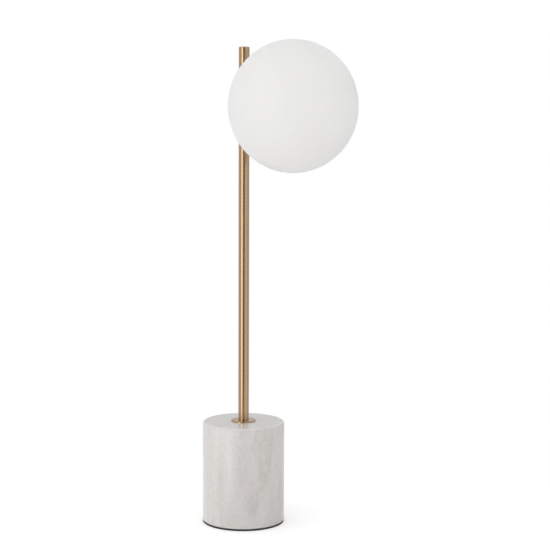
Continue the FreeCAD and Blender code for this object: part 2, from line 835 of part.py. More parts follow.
# ---------------------------------------------------------------- every node
def nodes():
    yield "marble_base", marble_base()
    yield "base_pad", base_pad()
    yield "cord_gland", cord_gland()
    yield "threaded_tube", threaded_tube()
    yield "tube_bush", tube_bush()
    yield "clamp_washer", clamp_washer()
    yield "base_lock_washer", split_washer(lock_washer_foot)
    yield "base_nut", base_nut()
    yield "stem_flange", stem_flange()
    yield "terminal_block", terminal_block()
    yield "terminal_tubes", terminal_tubes()
    yield "terminal_screws", terminal_screws()
    yield "earth_lug", earth_lug()
    yield "earth_wire", earth_wire()
    yield "live_wire", supply_wire("live_wire", -1)
    yield "neutral_wire", supply_wire("neutral_wire", 1)
    yield "stem_tube", stem_tube()
    yield "stem_insert", stem_insert()
    yield "stem_cap", stem_cap()
    yield "arm_boss", arm_boss()
    yield "arm_nipple", arm_nipple()
    yield "gallery_cup", gallery_cup()
    yield "arm_lock_washer", arm_lock_washer()
    yield "arm_nut", arm_nut()
    yield "globe_gasket", globe_gasket()
    for place, angle in thumb_screw_angles.items():
        yield f"screw_tip_{place}", screw_tip(angle)
        yield f"thumb_screw_{place}", thumb_screw(angle)
    yield "glass_globe", glass_globe()
    yield "globe_neck", globe_neck()
    yield "holder_cap", holder_cap()
    yield "holder_insert", holder_insert()
    yield "holder_terminals", holder_terminals()
    yield "holder_sleeve", holder_sleeve()
    yield "socket_shell", socket_shell()
    yield "centre_tongue", centre_tongue()
    yield "bulb_contact", bulb_contact()
    yield "bulb_insulator", bulb_insulator()
    yield "bulb_screw_shell", bulb_screw_shell()
    yield "bulb_collar", bulb_collar()
    yield "bulb_glass", bulb_glass()


def main():
    os.makedirs("parts", exist_ok=True)
    for name, shape in nodes():
        closed = shape.isValid() and all(solid.isClosed() for solid in shape.Solids)
        print(f"{name}: {len(shape.Solids)} solid(s), {shape.Volume:.1f} mm3, sound {closed}")
        shape.exportStep(f"parts/{name}.step")


main()
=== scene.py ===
import json
import math

import bmesh
import bpy
from mathutils import Matrix, Vector


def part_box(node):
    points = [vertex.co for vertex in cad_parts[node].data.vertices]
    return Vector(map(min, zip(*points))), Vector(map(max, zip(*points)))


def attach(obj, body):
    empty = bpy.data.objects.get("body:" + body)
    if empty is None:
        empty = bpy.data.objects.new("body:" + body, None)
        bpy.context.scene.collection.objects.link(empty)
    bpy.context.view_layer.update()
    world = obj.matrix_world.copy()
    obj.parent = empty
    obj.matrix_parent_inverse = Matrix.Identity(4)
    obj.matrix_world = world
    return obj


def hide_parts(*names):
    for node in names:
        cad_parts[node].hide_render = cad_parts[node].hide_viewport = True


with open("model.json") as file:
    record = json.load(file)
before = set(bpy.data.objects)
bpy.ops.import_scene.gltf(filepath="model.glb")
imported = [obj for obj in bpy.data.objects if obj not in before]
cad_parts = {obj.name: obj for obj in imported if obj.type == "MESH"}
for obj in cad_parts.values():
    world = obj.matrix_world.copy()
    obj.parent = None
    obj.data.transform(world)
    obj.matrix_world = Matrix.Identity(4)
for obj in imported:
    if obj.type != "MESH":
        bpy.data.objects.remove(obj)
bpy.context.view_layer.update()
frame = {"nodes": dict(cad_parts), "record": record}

# Globe table lamp: marble base, brass stem, opal globe on a short side arm.
# Metres, +Z up, the arm points along -Y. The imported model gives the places, this file gives the looks.

armHeight = sum(corner.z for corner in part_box("arm_nut")) / 2


# nodes for materials

noiseRange = (0.3, 0.7)         # nearly all values of a noise lie here


def newFinish(name, roughness=0.5, metallic=0.0, **constants):
    # constants are the shader's own sockets, written with _ for a space
    finish = bpy.data.materials.new(name)
    finish.use_nodes = True
    shader = finish.node_tree.nodes["Principled BSDF"]
    shader.inputs["Roughness"].default_value = roughness
    shader.inputs["Metallic"].default_value = metallic
    for socket, value in constants.items():
        shader.inputs[socket.replace("_", " ")].default_value = value
    return finish, finish.node_tree, shader


def addNode(tree, kind, inputs, **settings):
    node = tree.nodes.new("ShaderNode" + kind)
    for setting, value in settings.items():
        setattr(node, setting, value)
    for socket, value in inputs.items():
        if isinstance(value, bpy.types.NodeSocket):
            tree.links.new(value, node.inputs[socket])
        else:
            node.inputs[socket].default_value = value
    return node


def placed(tree, stretch=(1, 1, 1), centre=(0, 0, 0), turn=(0, 0, 0)):
    # the object's own coordinates, stretched about a centre
    place = addNode(tree, "TexCoord", {})
    shift = addNode(tree, "VectorMath", {0: place.outputs["Object"], 1: centre}, operation="SUBTRACT")
    mapping = addNode(tree, "Mapping", {"Vector": shift.outputs[0], "Rotation": turn, "Scale": stretch})
    return mapping.outputs["Vector"]


def noise(tree, vector, size, detail=3.0, rough=0.5, twist=0.0):
    # size is how wide one blotch is, in metres
    node = addNode(tree, "TexNoise", {
        "Vector": vector, "Scale": 1 / size, "Detail": detail, "Roughness": rough, "Distortion": twist,
    })
    return node.outputs["Fac"]


def cells(tree, vector, size, output="Distance"):
    node = addNode(tree, "TexVoronoi", {"Vector": vector, "Scale": 1 / size})
    return node.outputs[output]


def ramp(tree, value, ends, first, second):
    # from the first colour or grey to the second, between the two ends
    node = addNode(tree, "ValToRGB", {"Fac": value})
    for element, end, colour in zip(node.color_ramp.elements, ends, (first, second)):
        element.position = end
        element.color = (*colour, 1) if isinstance(colour, tuple) else (colour, colour, colour, 1)
    return node.outputs["Color"]


def mixed(tree, share, first, second, blend="MIX"):
    node = addNode(tree, "Mix", {0: share, 6: first, 7: second}, data_type="RGBA", blend_type=blend)
    return node.outputs[2]


def between(tree, value, low, high, fromLow=0.0, fromHigh=1.0):
    node = addNode(tree, "MapRange", {
        "Value": value, "From Min": fromLow, "From Max": fromHigh, "To Min": low, "To Max": high,
    })
    return node.outputs["Result"]


def calculated(tree, operation, *values):
    node = addNode(tree, "Math", dict(enumerate(values)), operation=operation)
    return node.outputs["Value"]


def weighed(tree, share, first, second):
    # a mean in which the first counts for its share
    parts = calculated(tree, "MULTIPLY", first, share), calculated(tree, "MULTIPLY", second, 1 - share)
    return calculated(tree, "ADD", *parts)


def raised(tree, shader, height, depth, strength=1.0, below=None):
    # depth is how far the bumps stand out, in metres
    inputs = {"Height": height, "Distance": depth, "Strength": strength}
    if below is not None:
        inputs["Normal"] = below
    node = addNode(tree, "Bump", inputs)
    tree.links.new(node.outputs["Normal"], shader.inputs["Normal"])
    return node.outputs["Normal"]


def feed(tree, shader, **sources):
    for socket, source in sources.items():
        tree.links.new(source, shader.inputs[socket.replace("_", " ")])


# marble

marbleLook = {
    "white": (0.608, 0.590, 0.576),
    "pale": (0.540, 0.521, 0.508),
    "beige": (0.485, 0.440, 0.398),
    "grey": (0.394, 0.388, 0.382),
    "rose": (0.520, 0.488, 0.478),
    "depthShare": 0.12,         # of the light goes through the surface, this deep
    "depth": 0.004,
    "upright": (1, 1, 0.30),    # clouds and veins are drawn out upwards and lean a little
    "lean": (0.10, -0.06, 0.5),
    "cloudSize": 0.045,
    "cloudEnds": (0.30, 0.62),
    "veinSize": 0.060,
    "veinShift": (0.012, 0.010, 0.004),
    "swaySize": 0.05,
    "swayBy": (0.75, 1.25),     # the veins' pattern is stretched and squeezed by this much
    "wideVein": 0.075,
    "thinVein": 0.012,
    "beigeShare": 0.40,
    "greyShare": 0.16,
    "veinedSize": 0.07,         # stretches with veins and without
    "veinedEnds": (0.40, 0.66),
    "patches": [                # soft marks: centre, half sizes, turn, colour, share
        ((-0.0467, -0.0180, 0.060), (0.0075, 0.0075, 0.055), 0.0, "beige", 0.55),
        ((-0.0300, -0.0400, 0.068), (0.0150, 0.0150, 0.060), 0.0, "rose", 0.50),
        ((-0.0178, -0.0467, 0.026), (0.0100, 0.0100, 0.018), 0.0, "grey", 0.26),
        ((-0.0068, -0.0495, 0.018), (0.0090, 0.0090, 0.014), 0.0, "white", 0.95),
        ((0.0043, -0.0220, 0.125), (0.0050, 0.0011, 0.0100), -0.6435, "grey", 0.75),
    ],
    "patchFade": (0.55, 1.65),  # shares of its half size
    "wobbleSize": 0.012,
    "grainSize": 0.0016,
    "grainShade": (0.945, 1.045),
    "speckSize": 0.0034,
    "speckShade": (0.950, 1.045),
    "facesUp": (0.45, 0.95),    # from here to there the honed side turns into the polished top
    "smearSize": 0.02,
    "sideRoughness": (0.30, 0.42),
    "topRoughness": (0.05, 0.10),
    "paintedTopLight": 1.12,            # painted light: the top's colour is made lighter than the side's
    "pitSize": 0.0022,
    "pitEnds": (0.28, 0.36),
    "pitDepth": 0.00012,
    "pitStrength": (0.35, 0.05),
}


def patchShare(tree, centre, halfSizes, turn, wobble):
    # 1 inside an egg-shaped mark, fading to 0 at its wavering edge
    local = addNode(tree, "Mapping", {
        "Vector": addNode(tree, "TexCoord", {}).outputs["Object"],
        "Location": centre, "Rotation": (0, 0, turn), "Scale": halfSizes,
    }, vector_type="TEXTURE")
    away = addNode(tree, "VectorMath", {0: local.outputs["Vector"]}, operation="LENGTH").outputs["Value"]
    return between(tree, calculated(tree, "ADD", away, wobble), 1.0, 0.0, *marbleLook["patchFade"])


def marbleFinish():
    look = marbleLook
    finish, tree, shader = newFinish(
        "veinedMarble", Subsurface_Weight=look["depthShare"], Subsurface_Scale=look["depth"],
    )
    upright = placed(tree, stretch=look["upright"], turn=look["lean"])
    clouds = noise(tree, upright, look["cloudSize"], detail=5, rough=0.6, twist=0.5)
    body = ramp(tree, clouds, look["cloudEnds"], look["pale"], look["white"])

    # veins are where a slow noise passes its middle, fainter where a second one is low
    swell = noise(tree, placed(tree, stretch=(1, 1, 0.6)), look["swaySize"], detail=2)
    sway = between(tree, swell, *look["swayBy"])
    shifted = addNode(tree, "VectorMath", {0: upright, 1: look["veinShift"]}, operation="ADD").outputs[0]
    swayed = addNode(tree, "VectorMath", {0: shifted, "Scale": sway}, operation="SCALE").outputs[0]
    slow = noise(tree, swayed, look["veinSize"], detail=4, rough=0.55, twist=0.9)
    ridge = calculated(tree, "ABSOLUTE", calculated(tree, "SUBTRACT", slow, 0.5))
    veined = ramp(tree, noise(tree, upright, look["veinedSize"], detail=2), look["veinedEnds"], 0.0, 1.0)
    coloured = body
    for width, share, colour in (("wideVein", "beigeShare", "beige"), ("thinVein", "greyShare", "grey")):
        vein = calculated(tree, "MULTIPLY", ramp(tree, ridge, (0.0, look[width]), 1.0, 0.0), veined)
        coloured = mixed(tree, calculated(tree, "MULTIPLY", vein, look[share]), coloured, (*look[colour], 1))
    wobble = noise(tree, placed(tree, stretch=(1, 1, 0.5)), look["wobbleSize"], detail=5, rough=0.65)
    for centre, halfSizes, turn, colour, share in look["patches"]:
        inside = patchShare(tree, centre, halfSizes, turn, wobble)
        coloured = mixed(tree, calculated(tree, "MULTIPLY", inside, share), coloured, (*look[colour], 1))

    # sugar-like crystals, each a little lighter or darker
    plain = placed(tree)
    grain = between(tree, cells(tree, plain, look["grainSize"], output="Color"), *look["grainShade"])
    specks = noise(tree, plain, look["speckSize"], detail=4, rough=0.7)
    shade = calculated(tree, "MULTIPLY", grain, between(tree, specks, *look["speckShade"], *noiseRange))
    coloured = mixed(tree, 1.0, coloured, shade, blend="MULTIPLY")

    # the top is polished and the side is honed, and the top's colour carries painted light that makes it
    # lighter
    normal = addNode(tree, "SeparateXYZ", {"Vector": addNode(tree, "TexCoord", {}).outputs["Normal"]})
    isTop = between(tree, normal.outputs["Z"], 0.0, 1.0, *look["facesUp"])
    smear = noise(tree, plain, look["smearSize"], detail=3)
    sideRough = between(tree, smear, *look["sideRoughness"])
    topRough = between(tree, smear, *look["topRoughness"])
    rough = addNode(tree, "Mix", {0: isTop, 2: sideRough, 3: topRough}, data_type="FLOAT")
    # painted light: the colour is made lighter where the surface faces up, as if lit from above
    paintedLight = between(tree, isTop, 1.0, look["paintedTopLight"])
    withPaintedLight = mixed(tree, 1.0, coloured, paintedLight, blend="MULTIPLY")
    feed(tree, shader, Base_Color=withPaintedLight, Roughness=rough.outputs[0])
    pits = ramp(tree, noise(tree, plain, look["pitSize"], detail=2), look["pitEnds"], 0.0, 1.0)
    raised(tree, shader, pits, look["pitDepth"], between(tree, isTop, *look["pitStrength"]))
    return finish


# brass

brassLook = {
    "light": (0.440, 0.276, 0.132),
    "dark": (0.405, 0.248, 0.114),
    "toneEnds": (0.34, 0.66),
    "aged": (0.330, 0.192, 0.088),
    "agedSize": 0.03,
    "agedEnds": (0.50, 0.80),
    "agedShare": 0.22,
    "roughness": (0.20, 0.22),
    "lineWidth": 0.00014,
    "lineDepth": 0.00000015,
    "drawnOut": 0.003,          # a drawn line is as wide as this share of its length
    "broadLine": 9,             # times as wide as a fine one
    "fineShare": 0.6,
    "lacquer": 1.0,
    "thinLacquer": 0.35,        # on the flange
    "lacquerRoughness": 0.13,
    "lacquerIndex": 1.75,
}


def brassFinish(name, axis="Z", centre=(0, 0, 0), turned=False, lacquer=brassLook["lacquer"]):
    # drawn: the brush lines run along the axis. turned: they run round it.
    look = brassLook
    finish, tree, shader = newFinish(
        name, metallic=1.0, Coat_Weight=lacquer, Coat_Roughness=look["lacquerRoughness"],
        Coat_IOR=look["lacquerIndex"],
    )
    if turned:
        local = addNode(tree, "SeparateXYZ", {"Vector": placed(tree, centre=centre)})
        along = local.outputs[axis]
        across = [local.outputs[letter] for letter in "XYZ" if letter != axis]
        squares = [calculated(tree, "MULTIPLY", side, side) for side in across]
        radius = calculated(tree, "SQRT", calculated(tree, "ADD", *squares))
        lines = addNode(tree, "CombineXYZ", {"X": radius, "Y": along, "Z": 0.0}).outputs["Vector"]
    else:
        stretch = [look["drawnOut"] if letter == axis else 1.0 for letter in "XYZ"]
        lines = placed(tree, stretch=stretch, centre=centre)
    fine = noise(tree, lines, look["lineWidth"], detail=2, rough=0.6)
    broad = noise(tree, lines, look["lineWidth"] * look["broadLine"], detail=3, rough=0.6)
    tone = weighed(tree, look["fineShare"], fine, broad)
    body = ramp(tree, tone, look["toneEnds"], look["dark"], look["light"])
    clouds = noise(tree, placed(tree), look["agedSize"], detail=4, rough=0.6)
    aged = ramp(tree, clouds, look["agedEnds"], 0.0, look["agedShare"])
    rough = between(tree, weighed(tree, 0.75, tone, clouds), *look["roughness"], *noiseRange)
    feed(tree, shader, Base_Color=mixed(tree, aged, body, (*look["aged"], 1)), Roughness=rough)
    raised(tree, shader, fine, look["lineDepth"], strength=0.6)
    return finish


# opal glass

opalLook = {
    "white": (0.976, 0.944, 0.912),
    "shade": (0.960, 0.926, 0.893),
    "thicknessSize": 0.05,
    "thicknessEnds": (0.35, 0.65),
    "depthShare": 0.65,         # of the light goes through the surface, this deep, and less of the blue
    "depth": 0.012,
    "depthColour": (1.0, 0.97, 0.93),
    "index": 1.48,
    "shine": 0.25,
    "roughness": (0.36, 0.46),
    "waveSize": 0.030,
    "waveDepth": 0.00006,
    "etchSize": 0.0006,
    "etchDepth": 0.000004,
}


def opalFinish():
    look = opalLook
    finish, tree, shader = newFinish(
        "opalGlass", Subsurface_Weight=look["depthShare"], Subsurface_Radius=look["depthColour"],
        Subsurface_Scale=look["depth"], IOR=look["index"], Specular_IOR_Level=look["shine"],
    )
    plain = placed(tree)
    thickness = noise(tree, plain, look["thicknessSize"], detail=2)
    feed(tree, shader, Base_Color=ramp(tree, thickness, look["thicknessEnds"], look["shade"], look["white"]))
    etch = noise(tree, plain, look["etchSize"], detail=2)
    feed(tree, shader, Roughness=between(tree, etch, *look["roughness"], *noiseRange))
    wave = raised(tree, shader, noise(tree, plain, look["waveSize"], detail=1), look["waveDepth"])
    raised(tree, shader, etch, look["etchDepth"], strength=0.5, below=wave)
    return finish


# plastics, ceramic, foam and the like: two tones in soft clouds, and a grain that stands out a little

plainLooks = {
    "pad_foam": {
        "name": "cellFoam", "light": (0.040, 0.040, 0.041), "dark": (0.014, 0.014, 0.015),
        "roughness": (0.80, 0.96), "grain": 0.0007, "depth": 0.00020, "cells": True,
    },
    "black_plastic": {
        "name": "blackPlastic", "light": (0.040, 0.040, 0.041), "dark": (0.026, 0.026, 0.027),
        "roughness": (0.36, 0.52), "grain": 0.0003, "depth": 0.000015, "cells": False,
    },
    "white_plastic": {
        "name": "whitePlastic", "light": (0.830, 0.825, 0.810), "dark": (0.780, 0.772, 0.752),
        "roughness": (0.30, 0.42), "grain": 0.0004, "depth": 0.00001, "cells": False,
    },
    "natural_plastic": {
        "name": "naturalPlastic", "light": (0.760, 0.765, 0.745), "dark": (0.690, 0.690, 0.660),
        "roughness": (0.30, 0.45), "grain": 0.0005, "depth": 0.00001, "cells": False,
    },
    "ceramic": {
        "name": "bareCeramic", "light": (0.830, 0.812, 0.775), "dark": (0.730, 0.700, 0.650),
        "roughness": (0.62, 0.80), "grain": 0.0005, "depth": 0.00004, "cells": False,
    },
    "silicone": {
        "name": "milkySilicone", "light": (0.700, 0.690, 0.660), "dark": (0.620, 0.610, 0.580),
        "roughness": (0.45, 0.60), "grain": 0.0004, "depth": 0.00001, "cells": False,
    },
    "bulb_diffuser": {
        "name": "frostedBulb", "light": (0.885, 0.880, 0.865), "dark": (0.855, 0.848, 0.830),
        "roughness": (0.38, 0.50), "grain": 0.0004, "depth": 0.000006, "cells": False,
    },
    "insulator_glass": {
        "name": "blackGlass", "light": (0.022, 0.022, 0.026), "dark": (0.010, 0.010, 0.012),
        "roughness": (0.06, 0.16), "grain": 0.0015, "depth": 0.00003, "cells": False,
    },
    "live_brown": {
        "name": "brownInsulation", "light": (0.150, 0.066, 0.030), "dark": (0.100, 0.042, 0.020),
        "roughness": (0.34, 0.50), "grain": 0.0004, "depth": 0.00001, "cells": False,
    },
    "neutral_blue": {
        "name": "blueInsulation", "light": (0.030, 0.100, 0.370), "dark": (0.020, 0.068, 0.270),
        "roughness": (0.34, 0.50), "grain": 0.0004, "depth": 0.00001, "cells": False,
    },
}

plainShared = {
    "cloudSize": 25,            # grains
    "cloudShare": 0.6,
    "toneEnds": (0.32, 0.62),
    "strength": 0.8,
}


def plainFinish(look):
    shared = plainShared
    finish, tree, shader = newFinish(look["name"])
    plain = placed(tree)
    clouds = noise(tree, plain, look["grain"] * shared["cloudSize"], detail=4, rough=0.6)
    if look["cells"]:
        grain = cells(tree, plain, look["grain"])
    else:
        grain = noise(tree, plain, look["grain"], detail=3, rough=0.6)
    tone = weighed(tree, shared["cloudShare"], clouds, grain)
    feed(tree, shader, Base_Color=ramp(tree, tone, shared["toneEnds"], look["dark"], look["light"]))
    feed(tree, shader, Roughness=between(tree, clouds, *look["roughness"], *noiseRange))
    raised(tree, shader, grain, look["depth"], shared["strength"])
    return finish


# small metals: crystals in two tones, with a tinted blush and fine scratches

metalLooks = {
    "steel": {
        "name": "zincSteel", "light": (0.600, 0.610, 0.620), "dark": (0.450, 0.455, 0.450),
        "tint": (0.520, 0.490, 0.360), "roughness": (0.26, 0.42), "grain": 0.0012,
    },
    "nickel": {
        "name": "satinNickel", "light": (0.690, 0.665, 0.620), "dark": (0.560, 0.535, 0.490),
        "tint": (0.480, 0.440, 0.380), "roughness": (0.18, 0.32), "grain": 0.0010,
    },
    "contact_metal": {
        "name": "contactBrass", "light": (0.700, 0.520, 0.260), "dark": (0.520, 0.350, 0.150),
        "tint": (0.380, 0.210, 0.110), "roughness": (0.24, 0.42), "grain": 0.0008,
    },
    "solder": {
        "name": "tinSolder", "light": (0.620, 0.620, 0.630), "dark": (0.400, 0.400, 0.410),
        "tint": (0.300, 0.290, 0.270), "roughness": (0.30, 0.55), "grain": 0.0007,
    },
}

metalShared = {
    "toneEnds": (0.34, 0.64),
    "blushSize": 9,             # grains
    "blushEnds": (0.52, 0.74),
    "blushShare": 0.55,
    "scratchWidth": 0.2,        # grains
    "scratchStretch": (1, 0.05, 1),
    "scratchTurn": (0.3, 0.2, 0.5),
    "scratchDepth": 0.000008,
}


def metalFinish(look):
    shared = metalShared
    finish, tree, shader = newFinish(look["name"], metallic=1.0)
    plain = placed(tree)
    crystals = noise(tree, plain, look["grain"], detail=4, rough=0.65)
    patches = noise(tree, plain, look["grain"] * shared["blushSize"], detail=3)
    blush = ramp(tree, patches, shared["blushEnds"], 0.0, shared["blushShare"])
    body = ramp(tree, crystals, shared["toneEnds"], look["dark"], look["light"])
    feed(tree, shader, Base_Color=mixed(tree, blush, body, (*look["tint"], 1)))
    feed(tree, shader, Roughness=between(tree, crystals, *look["roughness"], *noiseRange))
    drawnOut = placed(tree, stretch=shared["scratchStretch"], turn=shared["scratchTurn"])
    scratches = noise(tree, drawnOut, look["grain"] * shared["scratchWidth"], detail=1)
    raised(tree, shader, scratches, shared["scratchDepth"], strength=0.6)
    return finish


# earth wire: green with a yellow stripe along each side

earthLook = {
    "green": (0.120, 0.330, 0.035),
    "yellow": (0.780, 0.640, 0.050),
    "stripeFrom": 0.00045,
    "stripeEdge": 0.00006,
    "grainSize": 0.0004,
    "grainShade": (0.90, 1.08),
    "grainDepth": 0.00001,
    "roughness": (0.34, 0.50),
}


def earthFinish():
    look = earthLook
    finish, tree, shader = newFinish("stripedInsulation")
    plain = placed(tree)
    aside = calculated(tree, "ABSOLUTE", addNode(tree, "SeparateXYZ", {"Vector": plain}).outputs["X"])
    edge = look["stripeFrom"] - look["stripeEdge"], look["stripeFrom"] + look["stripeEdge"]
    stripe = between(tree, aside, 0.0, 1.0, *edge)
    coloured = mixed(tree, stripe, (*look["green"], 1), (*look["yellow"], 1))
    grain = noise(tree, plain, look["grainSize"], detail=3)
    shade = between(tree, grain, *look["grainShade"], *noiseRange)
    feed(tree, shader, Base_Color=mixed(tree, 1.0, coloured, shade, blend="MULTIPLY"))
    feed(tree, shader, Roughness=between(tree, grain, *look["roughness"]))
    raised(tree, shader, grain, look["grainDepth"], strength=0.8)
    return finish


# finishes onto the CAD nodes

finishes = {slot: plainFinish(look) for slot, look in plainLooks.items()}
finishes.update({slot: metalFinish(look) for slot, look in metalLooks.items()})
finishes["earth_green"] = earthFinish()
finishes["marble"] = marbleFinish()
finishes["opal_glass"] = opalFinish()
finishes["brass"] = brassFinish("drawnBrass")
turnedBrass = brassFinish("turnedBrass", turned=True)
flangeBrass = brassFinish("flangeBrass", turned=True, lacquer=brassLook["thinLacquer"])
armBrass = brassFinish("armBrass", axis="Y", centre=(0, 0, armHeight), turned=True)
ownFinishes = {"stem_flange": flangeBrass, "stem_cap": turnedBrass}
ownFinishes.update({node: armBrass for node in ("arm_boss", "arm_nipple", "gallery_cup")})


def setFinish(piece, finish):
    piece.data.materials.clear()
    piece.data.materials.append(finish)


for part in frame["record"]["subparts"]:
    setFinish(frame["nodes"][part["node"]], ownFinishes.get(part["node"], finishes[part["material_slot"]]))
print("finishes on", len(frame["nodes"]), "nodes")


# modelling

modelling = {
    "mergeWithin": 0.000003,
    "sharpAbove": 32,           # degrees between two faces
    "cutWithin": 0.0000001,     # a corner this near to a cut counts as on it
    "leadIn": 1.013,            # turns of thread before its first cut, so that no corner lies on a cut
}


def startPiece(name, kind, **settings):
    bpy.ops.object.select_all(action="DESELECT")
    getattr(bpy.ops.mesh, f"primitive_{kind}_add")(**settings)
    piece = bpy.context.object
    piece.name = piece.data.name = name
    return piece


def selectWhere(piece, kind, wanted):
    # kind is verts or faces, and wanted answers for one of them
    bpy.ops.mesh.select_mode(type="VERT" if kind == "verts" else "FACE")
    bpy.ops.mesh.select_all(action="DESELECT")
    form = bmesh.from_edit_mesh(piece.data)
    for element in getattr(form, kind):
        if wanted(element):
            element.select = True
    form.select_flush_mode()
    bmesh.update_edit_mesh(piece.data)


def mergeDoubles():
    bpy.ops.mesh.select_all(action="SELECT")
    bpy.ops.mesh.remove_doubles(threshold=modelling["mergeWithin"])


def shadeRound(piece):
    bpy.ops.object.select_all(action="DESELECT")
    piece.select_set(True)
    bpy.ops.object.shade_smooth_by_angle(angle=math.radians(modelling["sharpAbove"]))


def closeForm(piece):
    mergeDoubles()
    bpy.ops.mesh.normals_make_consistent(inside=False)
    bpy.ops.object.mode_set(mode="OBJECT")
    bpy.ops.object.transform_apply(location=True, rotation=True, scale=True)
    shadeRound(piece)
    return piece


def drawnLine(name, points):
    # a line of edges, drawn point by point out of a plane shrunk to one corner
    line = startPiece(name, "plane", size=0.001, location=points[0])
    bpy.ops.object.mode_set(mode="EDIT")
    bpy.ops.mesh.select_mode(type="VERT")
    bpy.ops.mesh.select_all(action="SELECT")
    bpy.ops.mesh.merge(type="CENTER")
    for here, there in zip(points, points[1:]):
        bpy.ops.mesh.extrude_region_move(TRANSFORM_OT_translate={"value": there - here})
    bpy.ops.mesh.select_all(action="SELECT")
    return line


def turnedPiece(name, profile, steps, upright=False):
    # profile is (radius, reach) points, turned about the arm's axis, or (radius, height) about the stem's
    if upright:
        points = [Vector((radius, 0, height)) for radius, height in profile]
        centre, axis = (0, 0, 0), (0, 0, 1)
    else:
        points = [Vector((0, -reach, armHeight + radius)) for radius, reach in profile]
        centre, axis = (0, 0, armHeight), (0, 1, 0)
    piece = drawnLine(name, points)
    bpy.ops.mesh.spin(steps=steps, angle=math.tau, center=centre, axis=axis)
    return closeForm(piece)


def cutOut(piece, kind, **settings):
    # takes a plain form out of the piece
    cutter = startPiece("cutter", kind, **settings)
    cut = piece.modifiers.new("cut", "BOOLEAN")
    cut.object = cutter
    cut.solver = "EXACT"
    bpy.context.view_layer.objects.active = piece
    bpy.ops.object.modifier_apply(modifier=cut.name)
    bpy.data.objects.remove(cutter)


def threadedRod(name, profile, pitch, low, high, steps):
    # profile is (radius, height) points over one pitch. The rod stands on Z and is cut flat at low and high.
    start = low - modelling["leadIn"] * pitch
    rod = drawnLine(name, [Vector((radius, 0, start + height)) for radius, height in profile])
    bpy.ops.object.mode_set(mode="OBJECT")
    bpy.ops.object.transform_apply(location=True, rotation=False, scale=False)
    helix = rod.modifiers.new("helix", "SCREW")
    helix.screw_offset = pitch
    helix.iterations = math.ceil((high - low) / pitch) + 2      # a turn more than needed at each end
    helix.steps = helix.render_steps = steps
    bpy.ops.object.modifier_apply(modifier=helix.name)
    bpy.ops.object.mode_set(mode="EDIT")
    mergeDoubles()
    for height, cut in ((low, "clear_inner"), (high, "clear_outer")):
        bpy.ops.mesh.select_all(action="SELECT")
        bpy.ops.mesh.bisect(
            plane_co=(0, 0, height), plane_no=(0, 0, 1), use_fill=True, threshold=modelling["cutWithin"],
            **{cut: True},
        )
    return closeForm(rod)


def softBend(start, corner, end, steps=6):
    # points from start to end, pulled towards the corner
    bend = []
    for step in range(steps + 1):
        share = step / steps
        pulls = (1 - share) ** 2, 2 * share * (1 - share), share ** 2
        point = [sum(pull * place[k] for pull, place in zip(pulls, (start, corner, end))) for k in (0, 1)]
        bend.append(tuple(point))
    return bend


def alongArm():
    # +Z of what was built at the origin becomes the reach along the arm
    return Matrix.Translation((0, 0, armHeight)) @ Matrix.Rotation(math.pi / 2, 4, "X")


def outwards(angle, reach):
    # +Z of what was built at the origin points away from the arm's axis
    direction = Vector((math.cos(math.radians(angle)), 0, math.sin(math.radians(angle))))
    return Matrix.Translation((0, -reach, armHeight)) @ direction.to_track_quat("Z", "Y").to_matrix().to_4x4()


def dress(piece, body, slotName, finish, *nodes):
    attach(piece, body)
    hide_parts(*nodes)
    setFinish(piece, finish)


# base: turned marble drum, softly rounded at the top, hollow underneath

drumForm = {
    "topRound": 0.0034,
    "roundPoints": 12,
    "footChamfer": 0.0008,
    "chamberRadius": 0.0310,
    "holeRadius": 0.0056,
    "glandRadius": 0.0053,
    "glandSeatRadius": 0.0076,
    "glandSeatDepth": 0.0010,
    "glandHeight": 0.0140,
    "glandPoints": 64,
    "turnSteps": 192,
}


def makeDrum():
    form = drumForm
    low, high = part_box("marble_base")
    radius, foot, top = (high.x - low.x) / 2, low.z, high.z
    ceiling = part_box("clamp_washer")[1].z
    bend, edge = form["topRound"], form["footChamfer"]
    chamber, hole = form["chamberRadius"], form["holeRadius"]
    rim = []
    for step in range(form["roundPoints"] + 1):
        angle = math.pi / 2 * step / form["roundPoints"]
        rim.append((radius - bend + bend * math.cos(angle), top - bend + bend * math.sin(angle)))
    outside = [(chamber, foot), (radius - edge, foot), (radius, foot + edge)] + rim
    inside = [(hole, top), (hole, ceiling), (chamber, ceiling), (chamber, foot)]
    drum = turnedPiece("marbleDrum", outside + inside, form["turnSteps"], upright=True)

    # the gland's way through the back, and its seat. Each cut starts in the open and ends past the marble.
    for drill, start, end in (
        (form["glandRadius"], chamber * 0.9, radius + 0.001),
        (form["glandSeatRadius"], radius - form["glandSeatDepth"], radius + 0.002),
    ):
        cutOut(
            drum, "cylinder", vertices=form["glandPoints"], radius=drill, depth=end - start,
            location=(0, (start + end) / 2, form["glandHeight"]), rotation=(math.pi / 2, 0, 0),
        )
    shadeRound(drum)
    return drum


dress(makeDrum(), "stand", "marble", finishes["marble"], "marble_base")
print("marble turned")


# globe: blown in one piece with its neck, a soft bend between them and a fire-polished rim

globeForm = {
    "flattening": 0.0035,       # its radius along the arm is this much shorter than across it
    "wall": 0.0030,
    "neckWall": 0.0025,
    "bend": 0.0040,
    "ovalPoints": 54,
    "rimPoints": 5,
    "turnSteps": 144,
}


